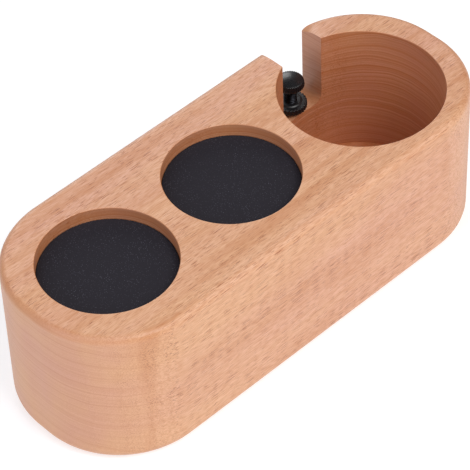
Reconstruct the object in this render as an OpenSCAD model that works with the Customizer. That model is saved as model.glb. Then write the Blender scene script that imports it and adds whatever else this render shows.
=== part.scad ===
// Wooden tamping station for an espresso bench.
// A solid beech block with two padded rests and one deep open well.
// The well's back wall is notched, and an adjustable support stands on the notch's ledge.
// The origin is the centre of the underside. X runs along the block, -Y is the front.

/* [Block] */
// Length of the block, end to end
block_l = 236; // [226:1:256]
// Width of the block, front to back
block_w = 91.2; // [89:0.2:104]
// Height of the wooden block
block_h = 73.5; // [64:0.5:90]
// Corner radius of the block's outline, seen from above
corner_r = 42.2; // [34:0.2:44]
// Radius of the rounded upper edge
top_round = 3.5; // [1:0.1:5]
// Radius of the rounded lower edge
bottom_round = 5.3; // [1:0.1:7]

/* [Padded rests] */
// Diameter of both rests
rest_d = 59.4; // [50:0.1:60]
// Depth from the block's top to the top of a pad
rest_depth = 6; // [3:0.1:12]
// Distance from the block's left end to the first rest's axis
rest_inset = 42; // [40:0.5:46]
// Distance between the axes of the two rests
rest_pitch = 70; // [64:0.5:72]
// Thickness of a pad
pad_t = 3; // [1:0.1:5]
// Radial gap between a pad and the wall around it
pad_gap = 0.3; // [0.1:0.05:0.8]

/* [Well] */
// Diameter of the well
well_d = 73.4; // [66:0.1:75]
// Distance from the block's right end to the well's axis
well_inset = 48.3; // [46:0.1:52]
// Distance that the well's axis lies in front of the block's middle
well_forward = 2.2; // [0:0.1:3]
// Thickness of the wood under the well
well_floor = 6; // [4:0.1:12]

/* [Notch] */
// Width of the notch in the back wall
notch_w = 25.1; // [22:0.1:34]
// Depth of the notch below the block's top
notch_depth = 38.8; // [32:0.1:44]
// Distance that the notch's middle lies to the left of the well's axis
notch_shift = 1.7; // [0:0.1:5]
// Radius of the notch's lower corners
notch_corner_r = 6; // [2:0.5:9]
// Radius of the notch's rounded outer edges
notch_round = 1.2; // [0.5:0.1:2.5]
// Radius of the hand-sanded rounding over the notch's upper corners
ease_r = 12; // [11:0.5:16]
// How far that rounding reaches into the left corner
left_ease = 5.5; // [2:0.5:9]
// How far that rounding reaches into the right corner
right_ease = 9; // [2:0.5:9]

/* [Edges] */
// Width of the small bevel around each rim
rim_bevel = 0.4; // [0.2:0.1:1]

/* [Support screw] */
// Outer diameter of the stud's thread
stud_d = 6; // [5:0.1:7]
// Length of the stud
stud_l = 30; // [28:0.5:36]
// Bevel at the stud's ends
stud_bevel = 0.7; // [0.3:0.1:1]
// Height of the cap's underside above the ledge
cap_lift = 14.4; // [12:0.1:18]
// Diameter of the cap over its ribs
cap_d = 13; // [11:0.1:16]
// Height of the cap's ribbed side
cap_side_h = 3.3; // [2.5:0.1:4]
// How far the cap's ribbed side leans in at its top
cap_lean = 0.4; // [0.2:0.1:1]
// Rise of the cap's low dome
cap_rise = 1.2; // [0.6:0.1:2]
// Depth of the stud's socket in the cap
cap_socket = 2.2; // [1.5:0.1:2.6]
// Number of grooves around the cap
cap_grooves = 36; // [24:1:44]
// Radius of a groove in the cap
cap_groove_r = 0.32; // [0.2:0.02:0.4]
// Gap that the screw keeps to the nut when it is turned right down
travel_gap = 0.25; // [0.2:0.05:1]

/* [Lock nut] */
// Diameter of the nut over its grip
nut_d = 15.2; // [14:0.1:18]
// Height of the nut's grip
nut_grip_h = 3.2; // [2:0.1:4]
// Bevel of the grip's upper and lower edge
nut_bevel = 0.35; // [0.2:0.05:0.7]
// Diameter of the narrow hub below the grip
hub_d = 9; // [8:0.1:10]
// Height of the hub below the grip
hub_h = 2.1; // [1.5:0.1:3.5]
// Height of the raised ring on top of the nut
nut_ring_h = 0.6; // [0.3:0.1:1.2]
// Diameter of the raised ring
nut_ring_d = 10.4; // [9:0.1:12]
// Number of scallops around the grip
nut_scallops = 28; // [20:1:32]
// Radius of a scallop
nut_scallop_r = 0.55; // [0.3:0.05:0.7]

/* [Threaded insert] */
// Outer diameter of the insert
insert_d = 8; // [7.6:0.1:9]
// Length of the insert
insert_l = 12; // [9:0.5:13]
// Radial clearance of the stud in the insert, the nut and the cap
thread_gap = 0.05; // [0.02:0.01:0.08]
// Radial clearance of the stud in the hole below the insert
hole_gap = 0.4; // [0.2:0.05:0.6]
// Spare depth below the stud when it is turned right down
hole_spare = 1.5; // [1:0.5:3]

/* [Underside] */
// Thickness of the non-slip sheet
sheet_t = 1; // [0.5:0.1:2]
// Distance from the block's outline to the sheet's edge
sheet_margin = 9; // [7:0.5:16]

/* [Hidden] */
$fn = 96;
// Extra length of a cut, so that it runs clear of the face that it opens
over = 1;

top_z = sheet_t + block_h;
back_y = block_w / 2;
left_rest_x = -block_l / 2 + rest_inset;
middle_rest_x = left_rest_x + rest_pitch;
rest_r = rest_d / 2;
pad_r = rest_r - pad_gap;
pad_top_z = top_z - rest_depth;

well_r = well_d / 2;
well_x = block_l / 2 - well_inset;
well_y = -well_forward;
well_floor_z = sheet_t + well_floor;

notch_x = well_x - notch_shift;
ledge_z = top_z - notch_depth;
// The ledge runs from the well's wall to the back face, and the support stands in its middle
ledge_front_y = well_y + sqrt(pow(well_r, 2) - pow(notch_shift, 2));
support_x = notch_x;
support_y = (ledge_front_y + back_y) / 2;

stud_r = stud_d / 2;
cap_r = cap_d / 2;
cap_z = ledge_z + cap_lift;
cap_edge_r = cap_r - cap_lean;
cap_dome_r = (pow(cap_edge_r, 2) + pow(cap_rise, 2)) / (2 * cap_rise);
stud_top_z = cap_z + cap_socket;
stud_foot_z = stud_top_z - stud_l;

nut_r = nut_d / 2;
nut_top = hub_h + nut_grip_h + nut_ring_h;
// The screw goes down until its cap nearly meets the nut
travel_down = cap_lift - nut_top - travel_gap;
stud_hole_floor_z = stud_foot_z - travel_down - hole_spare;

wood = [0.86, 0.66, 0.47];
foam = [0.06, 0.06, 0.06];
rubber = [0.12, 0.12, 0.12];
brass = [0.78, 0.62, 0.30];
dark_steel = [0.10, 0.10, 0.11];
dark_plastic = [0.07, 0.07, 0.08];

// Upright section of the block, from a corner's axis out to the wall
module wall_section(reach) {
    difference() {
        square([reach, block_h]);
        translate([reach - top_round, block_h - top_round])
            difference() {
                square(top_round + over);
                circle(top_round);
            }
        translate([reach - bottom_round, bottom_round])
            mirror([0, 1])
                difference() {
                    square(bottom_round + over);
                    circle(bottom_round);
                }
    }
}

// Straight run of the block's edge, as long as the flat between two corners
module edge_run(length, reach) {
    rotate([90, 0, 0])
        translate([0, 0, -length / 2])
            linear_extrude(length)
                wall_section(reach);
}

// The block before any cut: four turned corners, the runs between them and a core
module rounded_block() {
    half_l = block_l / 2 - corner_r;
    half_w = block_w / 2 - corner_r;
    for (turn = [0, 180])
        rotate([0, 0, turn]) {
            translate([half_l, half_w, 0])
                rotate_extrude(angle = 90)
                    wall_section(corner_r);
            translate([half_l, -half_w, 0])
                rotate([0, 0, -90])
                    rotate_extrude(angle = 90)
                        wall_section(corner_r);
            translate([half_l, 0, 0])
                edge_run(2 * half_w, corner_r);
            rotate([0, 0, 90])
                edge_run(2 * half_l, block_w / 2);
        }
}

// Round hole that is open at the top of the block and has a small bevel around its rim
module rimmed_hole(radius, floor_z) {
    translate([0, 0, floor_z])
        cylinder(h = top_z - floor_z + over, r = radius);
    translate([0, 0, top_z - rim_bevel])
        cylinder(h = rim_bevel + over, r1 = radius, r2 = radius + rim_bevel + over);
}

// Notch through the back wall, round in its lower corners where the cutter ran level
module notch() {
    half_w = notch_w / 2;
    translate([notch_x, back_y + over, ledge_z])
        rotate([90, 0, 0])
            linear_extrude(back_y - well_y + over) {
                for (side = [-1, 1])
                    translate([side * (half_w - notch_corner_r), notch_corner_r])
                        circle(notch_corner_r);
                translate([notch_corner_r - half_w, 0])
                    square([notch_w - 2 * notch_corner_r, notch_corner_r]);
                translate([-half_w, notch_corner_r])
                    square([notch_w, notch_depth - notch_corner_r + over]);
            }
}

// Rounding of one outer edge of the notch
module notch_edge(side) {
    translate([notch_x, back_y - notch_round, ledge_z + notch_corner_r])
        mirror([side < 0 ? 1 : 0, 0, 0])
            translate([notch_w / 2, 0, 0])
                linear_extrude(notch_depth)
                    difference() {
                        translate([-over, 0])
                            square([notch_round + over, notch_round + over]);
                        translate([notch_round, 0])
                            circle(notch_round);
                    }
}

// Hand-sanded rounding over the upper corner between the notch and the back face
module corner_ease(side, reach) {
    run = 3 * reach;
    translate([notch_x + side * notch_w / 2, back_y, top_z - ease_r])
        rotate([0, 0, 90 + side * 45])
            translate([-reach, 0, 0])
                difference() {
                    translate([0, -run / 2, 0])
                        cube([reach + over, run, ease_r + over]);
                    rotate([90, 0, 0])
                        cylinder(h = run + 2 * over, r = ease_r, center = true);
                }
}

// Stepped hole for the insert and for the stud below it
module support_hole() {
    translate([support_x, support_y, ledge_z - insert_l])
        cylinder(h = insert_l + over, d = insert_d);
    translate([support_x, support_y, stud_hole_floor_z])
        cylinder(h = ledge_z - stud_hole_floor_z, r = stud_r + hole_gap);
}

module block() {
    color(wood)
        difference() {
            translate([0, 0, sheet_t])
                rounded_block();
            for (x = [left_rest_x, middle_rest_x])
                translate([x, 0, 0])
                    rimmed_hole(rest_r, pad_top_z - pad_t);
            translate([well_x, well_y, 0])
                rimmed_hole(well_r, well_floor_z);
            notch();
            notch_edge(-1);
            notch_edge(1);
            corner_ease(-1, left_ease);
            corner_ease(1, right_ease);
            support_hole();
        }
}

module pad(x) {
    color(foam)
        translate([x, 0, pad_top_z - pad_t])
            cylinder(h = pad_t, r = pad_r);
}

module left_pad() {
    pad(left_rest_x);
}

module middle_pad() {
    pad(middle_rest_x);
}

// Thin rubber sheet glued under the block, with the block's outline drawn in by its margin
module non_slip_sheet() {
    sheet_corner_r = corner_r - sheet_margin;
    half_l = block_l / 2 - corner_r;
    half_w = block_w / 2 - corner_r;
    color(rubber)
        linear_extrude(sheet_t) {
            for (x = [-half_l, half_l], y = [-half_w, half_w])
                translate([x, y])
                    circle(sheet_corner_r);
            square([2 * half_l, block_w - 2 * sheet_margin], center = true);
            square([block_l - 2 * sheet_margin, 2 * half_w], center = true);
        }
}

// Brass bush with an inner thread, pressed into the ledge
module threaded_insert() {
    color(brass)
        translate([support_x, support_y, ledge_z - insert_l])
            difference() {
                cylinder(h = insert_l, d = insert_d);
                translate([0, 0, -over])
                    cylinder(h = insert_l + 2 * over, r = stud_r + thread_gap);
            }
}

module support_stud() {
    color(dark_steel)
        translate([support_x, support_y, stud_foot_z])
            rotate_extrude()
                polygon([
                    [0, 0],
                    [stud_r - stud_bevel, 0],
                    [stud_r, stud_bevel],
                    [stud_r, stud_l - stud_bevel],
                    [stud_r - stud_bevel, stud_l],
                    [0, stud_l]
                ]);
}

// Half section of the cap: a ribbed side that leans in, under a low dome
module cap_section() {
    difference() {
        union() {
            polygon([
                [0, 0],
                [cap_r - cap_lean, 0],
                [cap_r, cap_lean],
                [cap_r, cap_side_h / 2],
                [cap_edge_r, cap_side_h],
                [0, cap_side_h]
            ]);
            intersection() {
                translate([0, cap_side_h + cap_rise - cap_dome_r])
                    circle(cap_dome_r, $fn = 180);
                square([cap_edge_r, cap_side_h + cap_rise]);
            }
        }
        translate([0, -over])
            square([stud_r + thread_gap, cap_socket + over]);
    }
}

module support_cap() {
    color(dark_plastic)
        translate([support_x, support_y, cap_z])
            difference() {
                rotate_extrude()
                    cap_section();
                for (i = [0:cap_grooves - 1])
                    rotate([0, 0, i * 360 / cap_grooves])
                        translate([cap_r, 0, -over])
                            cylinder(h = cap_side_h + cap_rise + 2 * over, r = cap_groove_r, $fn = 16);
            }
}

// Lock nut: a narrow hub that stands on the ledge, a scalloped grip and a raised ring
module lock_nut() {
    grip_top = hub_h + nut_grip_h;
    color(dark_plastic)
        translate([support_x, support_y, ledge_z])
            difference() {
                rotate_extrude()
                    polygon([
                        [stud_r + thread_gap, 0],
                        [hub_d / 2, 0],
                        [hub_d / 2, hub_h],
                        [nut_r - nut_bevel, hub_h],
                        [nut_r, hub_h + nut_bevel],
                        [nut_r, grip_top - nut_bevel],
                        [nut_r - nut_bevel, grip_top],
                        [nut_ring_d / 2, grip_top],
                        [nut_ring_d / 2 - nut_ring_h, nut_top],
                        [stud_r + thread_gap, nut_top]
                    ]);
                for (i = [0:nut_scallops - 1])
                    rotate([0, 0, i * 360 / nut_scallops])
                        translate([nut_r, 0, hub_h - over])
                            cylinder(h = nut_grip_h + 2 * over, r = nut_scallop_r, $fn = 20);
            }
}

block();
left_pad();
middle_pad();
non_slip_sheet();
threaded_insert();
support_stud();
support_cap();
lock_nut();
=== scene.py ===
"""Dresses the wooden tamping station: a beech block, two foam pads and an adjustable black support.

Every length here is in metres, in the part's own frame: +X along the block towards the well, -Y the front, +Z up.
Sizes that the frame knows are read from it, and the rest stand as fields of the piece that they belong to.
"""

import logging
import math
from dataclasses import dataclass
from enum import Enum

import bmesh
import bpy
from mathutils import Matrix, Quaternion, Vector


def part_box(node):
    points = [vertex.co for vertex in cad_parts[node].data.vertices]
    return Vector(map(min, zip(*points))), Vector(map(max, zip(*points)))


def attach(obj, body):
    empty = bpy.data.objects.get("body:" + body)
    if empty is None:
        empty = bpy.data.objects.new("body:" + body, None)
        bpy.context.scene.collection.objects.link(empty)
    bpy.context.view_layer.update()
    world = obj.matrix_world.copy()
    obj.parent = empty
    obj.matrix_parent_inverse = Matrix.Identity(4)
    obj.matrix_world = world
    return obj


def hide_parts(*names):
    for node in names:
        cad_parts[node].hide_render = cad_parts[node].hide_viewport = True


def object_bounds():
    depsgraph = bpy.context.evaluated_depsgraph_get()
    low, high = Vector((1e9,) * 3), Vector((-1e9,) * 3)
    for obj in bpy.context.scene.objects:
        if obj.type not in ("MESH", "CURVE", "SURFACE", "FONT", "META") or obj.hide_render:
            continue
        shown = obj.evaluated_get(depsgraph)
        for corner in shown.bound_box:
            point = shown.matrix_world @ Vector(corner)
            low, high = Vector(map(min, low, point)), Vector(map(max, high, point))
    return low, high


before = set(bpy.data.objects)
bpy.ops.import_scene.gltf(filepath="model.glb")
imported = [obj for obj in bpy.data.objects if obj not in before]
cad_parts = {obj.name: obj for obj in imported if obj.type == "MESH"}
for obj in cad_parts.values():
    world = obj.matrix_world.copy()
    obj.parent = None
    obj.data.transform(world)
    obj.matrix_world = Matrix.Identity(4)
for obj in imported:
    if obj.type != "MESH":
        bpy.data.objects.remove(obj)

LOG = logging.getLogger("tamping_station")
MM = 0.001
FULL_TURN = 2 * math.pi
CAD_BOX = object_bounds()
PADS = ("left_pad", "middle_pad")
# What a position is multiplied by to keep its X and Y, and its Y and Z.
LEVEL = (1.0, 1.0, 0.0)
ACROSS_GRAIN = (0.0, 1.0, 1.0)

Point = tuple[float, float]
Span = tuple[float, float]
Triple = tuple[float, float, float]
Node = bpy.types.Node
NodeTree = bpy.types.NodeTree
Socket = bpy.types.NodeSocket


class Body(Enum):
    """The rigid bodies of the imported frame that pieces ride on."""

    STATION = "station"
    SCREW = "support_screw"
    NUT = "lock_nut"


class Kind(Enum):
    """The kinds of node that the finishes and the geometry trees are made of."""

    BUMP = "ShaderNodeBump"
    CELLS = "ShaderNodeTexVoronoi"
    CLOUDS = "ShaderNodeTexNoise"
    COORDINATES = "ShaderNodeTexCoord"
    DRESS = "GeometryNodeSetMaterial"
    INPUT = "NodeGroupInput"
    JOIN = "ShaderNodeCombineXYZ"
    LEAN = "ShaderNodeMapping"
    MATH = "ShaderNodeMath"
    MIX = "ShaderNodeMix"
    MOVE = "GeometryNodeSetPosition"
    OUTPUT = "NodeGroupOutput"
    POSITION = "GeometryNodeInputPosition"
    RANGE = "ShaderNodeMapRange"
    REALIZE = "GeometryNodeRealizeInstances"
    ROD = "GeometryNodeMeshCylinder"
    SPLIT = "ShaderNodeSeparateXYZ"
    SPLIT_COLOUR = "ShaderNodeSeparateColor"
    VECTOR = "ShaderNodeVectorMath"
    WAVES = "ShaderNodeTexWave"


# Shared helpers for nodes and colours


def linear(hex_code: str) -> tuple[float, float, float, float]:
    """Turns an sRGB hex colour into the linear colour that a shader socket takes.

    Args:
        hex_code: six hexadecimal digits, such as "d9a27c".

    Returns:
        Linear red, green and blue, with an alpha of one.
    """
    toe, slope, offset, gamma = 0.04045, 12.92, 0.055, 2.4
    parts = [int(hex_code[i : i + 2], 16) / 255 for i in (0, 2, 4)]
    red, green, blue = (c / slope if c <= toe else ((c + offset) / (1 + offset)) ** gamma for c in parts)
    return red, green, blue, 1.0


def add_node(tree: NodeTree, kind: Kind, inputs: dict | tuple = (), **settings: object) -> Node:
    """Adds one node, sets it up and links it.

    Args:
        tree: the shader or geometry tree that gets the node.
        kind: the kind of node.
        inputs: what the first inputs take in their order, or what inputs take by name or index. A socket is linked,
            a node is linked by its first output, and a value is set.
        **settings: properties of the node itself.

    Returns:
        The new node.
    """
    node = tree.nodes.new(kind.value)
    for key, value in settings.items():
        setattr(node, key, value)
    for key, value in inputs.items() if isinstance(inputs, dict) else enumerate(inputs):
        socket = node.inputs[key]
        source = value.outputs[0] if isinstance(value, Node) else value
        if isinstance(source, Socket):
            tree.links.new(source, socket)
        else:
            socket.default_value = source
    return node


# Finishes


@dataclass(frozen=True)
class Finish:
    """A surface finish that builds its own material.

    Attributes:
        name: the material's name.
    """

    name: str

    def build(self) -> bpy.types.Material:
        """Makes the material and lets the finish fill in its nodes.

        Returns:
            The finished material.
        """
        material = bpy.data.materials.new(self.name)
        material.use_nodes = True
        tree = material.node_tree
        self.dress(tree, tree.nodes["Principled BSDF"])
        return material

    def dress(self, tree: NodeTree, shader: Node) -> None:
        """Fills in the nodes. Each finish has its own."""
        raise NotImplementedError

    def position_mm(self, tree: NodeTree) -> Node:
        """Gives the object coordinates in millimetres."""
        place = add_node(tree, Kind.COORDINATES).outputs["Object"]
        return add_node(tree, Kind.VECTOR, {0: place, "Scale": 1 / MM}, operation="SCALE")

    def pattern(self, tree: NodeTree, kind: Kind, place: Node, size_mm: Triple, detail: float) -> Node:
        """Gives a pattern of a real size.

        Args:
            tree: the material's node tree.
            kind: clouds or cells.
            place: a position in millimetres.
            size_mm: the pattern's size along X, Y and Z.
            detail: how much finer detail it carries.

        Returns:
            The pattern.
        """
        counted = add_node(tree, Kind.VECTOR, (place, size_mm), operation="DIVIDE")
        return add_node(tree, kind, {"Vector": counted, "Scale": 1.0, "Detail": detail})


@dataclass(frozen=True)
class Stain:
    """A colour that lies over the wood where a mask is one.

    Attributes:
        hex_code: the colour.
        plain: its strength on ordinary long grain.
        exposed: its strength where the wood was cut another way, such as on end grain or on a turned wall.
        full: how far the wood has to be cut that way for this strength.
    """

    hex_code: str
    plain: float
    exposed: float = 0.0
    full: float = 1.0


@dataclass(frozen=True)
class OiledBeech(Finish):
    """Steamed European beech, milled, sanded and oiled.

    Steaming turns the pale wood pinkish tan. The block is cut off centre, so the growth rings lean through it: broad
    soft streaks on top, hardly a line on the sides and flat arcs on the ends and round the well. Beech's rays show
    everywhere as short dark dashes along the grain. The oil gives a satin sheen, and it sinks deeper into the end
    grain, which stays darker. The turned walls of the well and the rests, and the milled notch, are darkened with
    painted shade, as these recesses get less light.

    A ring is 2.3 mm wide, and beech's usually are 1 to 3 mm. A ray's cell is 0.3 to 0.4 mm wide and 5 to 10 mm long,
    and the ray fills up to seven tenths of it, which is near a real one's size. Real fibres are some 0.02 mm wide. They
    are too fine to show in the render, so they are drawn 0.34 mm wide.

    Attributes:
        light_hex: the lighter tone of the bare wood.
        pink_hex: its pinker tone.
        bands: groups of darker rings.
        streaks: long soft streaks on long grain.
        late_wood: the dark line that ends a ring.
        layers: uneven dark layers between rings.
        fibres: short fine fibres.
        rays: the dark rays.
        end_grain: what darkens the end grain.
        burnish: what darkens the rounded edge over the end grain.
        painted_recess_shade: painted shade that darkens the turned walls of the well and the rests, and the milled
            notch.
        tone_span: the stretch of the tone's clouds that goes from light to pink.
        band_span: the stretch of the ring noise that turns into bands.
        streak_span: the stretch of the streaks' clouds that shows.
        late_span: the part of a ring that is late wood.
        layer_span: the stretch of the layer noise that shows.
        fibre_span: the stretch of the fibres' clouds that shows.
        end_span: how far a face has to look along the grain to be end grain.
        edge_span: how far a rounded edge has to look both along the grain and up to be burnished.
        crowd_span: the stretch of the rays' clouds that goes from few rays to many.
        bands_per_ring: how often the bands change.
        layers_per_ring: how often the layers change.
        hidden_layers: how much of the layers long grain shows.
        grain_lean_deg: how the grain leans from the block's axes.
        ring_mm: width of a ring.
        pith_mm: place of the tree's centre across the grain, as Y and Z.
        fine_ray_mm: size of the cells that hold a fine ray each.
        long_ray_mm: size of the cells that hold a long ray each.
        fine_empty: share of the fine cells that hold no ray.
        long_empty: share of the long cells that hold no ray.
        long_full: depth at which a long ray is fully dark.
        ray_reach: a ray's half size in cells, where rays are few and where they are many.
        ray_core: the part of a ray that is fully dark.
        fibre_mm: size of the fibres.
        streak_mm: size of the streaks.
        tone_mm: size of the patches of tone.
        crowd_mm: size of the patches with few or many rays.
        wander_mm: size of the bends in the rings.
        wander_reach_mm: how far the rings bend.
        wall_skin_mm: how far outside a cut wall its mask, which carries the painted shade and the stronger ring figure,
            has faded, and how far it is full.
        notch_share: how strong the painted shade and the ring figure are in the milled notch, beside the turned walls.
        roughness: the oil's middle roughness.
        roughness_spread: how far the fibres take it down and up.
        satin_span: the stretch of the fibres' clouds that does.
        relief_mm: depth of the open grain.
        relief_strength: strength of that relief.
        ray_sink: how far a ray lies below the fibres, as a share of that depth.
        sheen: the oil's specular level.
        turned_walls: place and radius of each turned hole, in millimetres.
        notch_mm: the notch's middle, half width, front and ledge, in millimetres.
    """

    light_hex: str = "e5b28a"
    pink_hex: str = "dfa98e"
    bands: Stain = Stain("c07c4c", 0.16, 0.55)
    streaks: Stain = Stain("c07c4c", 0.55, 0.0, 0.6)
    late_wood: Stain = Stain("a8602f", 0.04, 0.3)
    layers: Stain = Stain("a8602f", 0.14, 0.5)
    fibres: Stain = Stain("c07c4c", 0.55, 0.2)
    rays: Stain = Stain("8a4014", 0.86, 0.14)
    end_grain: Stain = Stain("a8602f", 0.27)
    burnish: Stain = Stain("c07c4c", 0.4)
    # Painted shade over the well, the rests and the notch, where these recesses get less light.
    painted_recess_shade: Stain = Stain("b65a1c", 0.33)
    tone_span: Span = (0.34, 0.66)
    band_span: Span = (0.42, 0.68)
    streak_span: Span = (0.48, 0.68)
    late_span: Span = (0.72, 0.97)
    layer_span: Span = (0.4, 0.66)
    fibre_span: Span = (0.38, 0.64)
    end_span: Span = (0.35, 0.95)
    edge_span: Span = (0.12, 0.45)
    crowd_span: Span = (0.36, 0.64)
    bands_per_ring: float = 0.9
    layers_per_ring: float = 2.6
    hidden_layers: float = 0.2
    grain_lean_deg: Triple = (0.0, 1.2, 0.8)
    ring_mm: float = 2.3
    pith_mm: Point = (15.0, -200.0)
    fine_ray_mm: Triple = (4.6, 0.3, 0.3)
    long_ray_mm: Triple = (10.0, 0.38, 0.38)
    fine_empty: float = 0.1
    long_empty: float = 0.6
    long_full: float = 0.6
    ray_reach: Span = (0.2, 0.36)
    ray_core: float = 0.75
    fibre_mm: Triple = (4.5, 0.34, 0.34)
    streak_mm: Triple = (110.0, 5.0, 45.0)
    tone_mm: Triple = (160.0, 20.0, 28.0)
    crowd_mm: Triple = (50.0, 12.0, 12.0)
    wander_mm: Triple = (95.0, 30.0, 30.0)
    wander_reach_mm: float = 6.0
    wall_skin_mm: Span = (0.15, 0.05)
    notch_share: float = 0.45
    roughness: float = 0.45
    roughness_spread: Span = (0.05, 0.06)
    satin_span: Span = (0.3, 0.7)
    relief_mm: float = 0.04
    relief_strength: float = 0.35
    ray_sink: float = 0.5
    sheen: float = 0.55
    turned_walls: tuple[Triple, ...] = ()
    notch_mm: tuple[float, float, float, float] = (0.0, 0.0, 0.0, 0.0)

    def ring_count(self, tree: NodeTree, place: Node) -> Node:
        """Counts growth rings out from the tree's centre, with a slow wander.

        Args:
            tree: the material's node tree.
            place: a position in millimetres, leaned with the grain.

        Returns:
            The number of rings between the tree's centre and the position.
        """
        drift = self.pattern(tree, Kind.CLOUDS, place, self.wander_mm, detail=2.0).outputs["Color"]
        centred = add_node(tree, Kind.VECTOR, (drift, (0.5, 0.5, 0.5)), operation="SUBTRACT")
        reach = tuple(self.wander_reach_mm * share for share in ACROSS_GRAIN)
        moved = add_node(tree, Kind.VECTOR, (centred, reach, place), operation="MULTIPLY_ADD")
        out = add_node(tree, Kind.VECTOR, (moved, (0.0, *self.pith_mm)), operation="SUBTRACT")
        across = add_node(tree, Kind.VECTOR, (out, ACROSS_GRAIN), operation="MULTIPLY")
        length = add_node(tree, Kind.VECTOR, (across,), operation="LENGTH").outputs["Value"]
        return add_node(tree, Kind.MATH, (length, self.ring_mm), operation="DIVIDE")

    def ray_mask(self, tree: NodeTree, place: Node, cell_mm: Triple, empty: float) -> Node:
        """Finds dark rays, thick in some patches and thin in others.

        Args:
            tree: the material's node tree.
            place: a position in millimetres, leaned with the grain.
            cell_mm: the size of the cells that hold one ray each.
            empty: share of the cells that hold none.

        Returns:
            One inside a ray, fading to zero at its edge.
        """
        cells = self.pattern(tree, Kind.CELLS, place, cell_mm, detail=0.0)
        crowd = self.pattern(tree, Kind.CLOUDS, place, self.crowd_mm, detail=3.0)
        reach = add_node(tree, Kind.RANGE, (crowd, *self.crowd_span, *self.ray_reach))
        away = add_node(tree, Kind.MATH, (cells, reach), operation="DIVIDE")
        inside = add_node(tree, Kind.RANGE, (away, 1.0, self.ray_core))
        shade = add_node(tree, Kind.SPLIT_COLOUR, {"Color": cells.outputs["Color"]}).outputs["Red"]
        depth = add_node(tree, Kind.RANGE, (shade, empty, 1.0))
        return add_node(tree, Kind.MATH, (inside, depth), operation="MULTIPLY")

    def turned_mask(self, tree: NodeTree, place: Node) -> Node:
        """Finds the walls and floors of the turned holes.

        Args:
            tree: the material's node tree.
            place: a position in millimetres, unleaned.

        Returns:
            One inside a hole, zero on the rest of the block.
        """
        faded, full = self.wall_skin_mm
        found = 0.0
        for x, y, radius in self.turned_walls:
            away = add_node(tree, Kind.VECTOR, (place, (x, y, 0.0)), operation="SUBTRACT")
            flat = add_node(tree, Kind.VECTOR, (away, LEVEL), operation="MULTIPLY")
            length = add_node(tree, Kind.VECTOR, (flat,), operation="LENGTH").outputs["Value"]
            inside = add_node(tree, Kind.RANGE, (length, radius + faded, radius + full))
            found = add_node(tree, Kind.MATH, (found, inside), operation="MAXIMUM")
        return found

    def milled_mask(self, tree: NodeTree, place: Node) -> Node:
        """Finds the walls and the ledge of the notch.

        Args:
            tree: the material's node tree.
            place: a position in millimetres, unleaned.

        Returns:
            The notch's share inside it, zero on the rest of the block.
        """
        faded, full = self.wall_skin_mm
        middle_x, half, front_y, ledge_z = self.notch_mm
        axes = add_node(tree, Kind.SPLIT, (place,)).outputs
        off = add_node(tree, Kind.MATH, (axes["X"], middle_x), operation="SUBTRACT")
        side = add_node(tree, Kind.MATH, (off,), operation="ABSOLUTE")
        between = add_node(tree, Kind.RANGE, (side, half + faded, half + full))
        above = add_node(tree, Kind.RANGE, (axes["Z"], ledge_z - faded, ledge_z - full))
        depth = (axes["Y"], front_y, front_y + faded - full, 0.0, self.notch_share)
        behind = add_node(tree, Kind.RANGE, depth)
        open_over = add_node(tree, Kind.MATH, (between, above), operation="MULTIPLY")
        return add_node(tree, Kind.MATH, (open_over, behind), operation="MULTIPLY")

    def stained(
        self, tree: NodeTree, colour: Socket, stain: Stain, mask: Node, cut: Node | None
    ) -> tuple[Socket, Node]:
        """Lays a stain over a colour.

        Args:
            tree: the material's node tree.
            colour: the colour below.
            stain: the stain.
            mask: where the stain lies.
            cut: one where its exposed strength holds, or nothing where its plain strength holds all over.

        Returns:
            The resulting colour, and how much of the stain shows.
        """
        strength = stain.plain
        if cut is not None:
            strength = add_node(tree, Kind.RANGE, (cut, 0.0, stain.full, stain.plain, stain.exposed))
        share = add_node(tree, Kind.MATH, (mask, strength), operation="MULTIPLY")
        inputs = {"Factor": share, 6: colour, 7: linear(stain.hex_code)}
        return add_node(tree, Kind.MIX, inputs, data_type="RGBA").outputs[2], share

    def dress(self, tree: NodeTree, shader: Node) -> None:
        """Lays tone, rings, fibres and rays over each other, darkens the end grain, and paints shade into the turned
        holes and the notch.

        Args:
            tree: the material's node tree.
            shader: its surface shader.
        """
        upright = self.position_mm(tree)
        lean = tuple(math.radians(angle) for angle in self.grain_lean_deg)
        place = add_node(tree, Kind.LEAN, {"Vector": upright, "Rotation": lean})
        normal = add_node(tree, Kind.COORDINATES).outputs["Normal"]
        facing = add_node(tree, Kind.SPLIT, (normal,)).outputs
        along = add_node(tree, Kind.MATH, (facing["X"],), operation="ABSOLUTE")
        end = add_node(tree, Kind.RANGE, (along, *self.end_span))
        # The turned holes and the notch: they take the painted shade and a stronger ring figure.
        walls = (self.turned_mask(tree, upright), self.milled_mask(tree, upright))
        wall = add_node(tree, Kind.MATH, walls, operation="MAXIMUM")
        cut = add_node(tree, Kind.MATH, (end, wall), operation="MAXIMUM")

        patches = self.pattern(tree, Kind.CLOUDS, place, self.tone_mm, detail=3.0)
        tone = add_node(tree, Kind.RANGE, (patches, *self.tone_span))
        tones = {"Factor": tone, 6: linear(self.light_hex), 7: linear(self.pink_hex)}
        colour = add_node(tree, Kind.MIX, tones, data_type="RGBA").outputs[2]

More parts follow.
